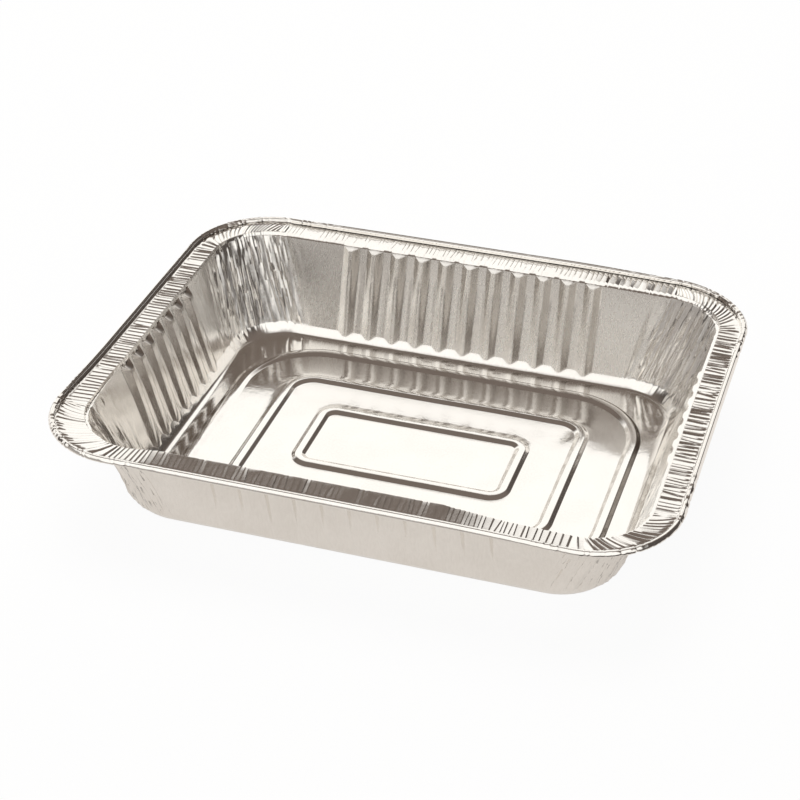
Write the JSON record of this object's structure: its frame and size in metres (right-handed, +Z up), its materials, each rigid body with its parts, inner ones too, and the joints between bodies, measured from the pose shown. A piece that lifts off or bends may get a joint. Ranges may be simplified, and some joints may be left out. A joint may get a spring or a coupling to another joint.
{
  "type": "foil food container",
  "caption": "Rectangular aluminium foil tray with a rolled hem, pleated flange, fluted leaning walls, creased corners and three ridges in its floor.",
  "frame": {"origin": "middle of the underside, on the surface that the tray stands on", "axes": "+X along the long sides, +Y along the short sides, +Z up out of the open top"},
  "size_m": [0.3144, 0.2544, 0.0565],
  "materials": {
    "foil": "rolled foil, satin to bright"
  },
  "bodies": {
    "root": {"foil_tray": "foil"}
  },
  "joints": []
}
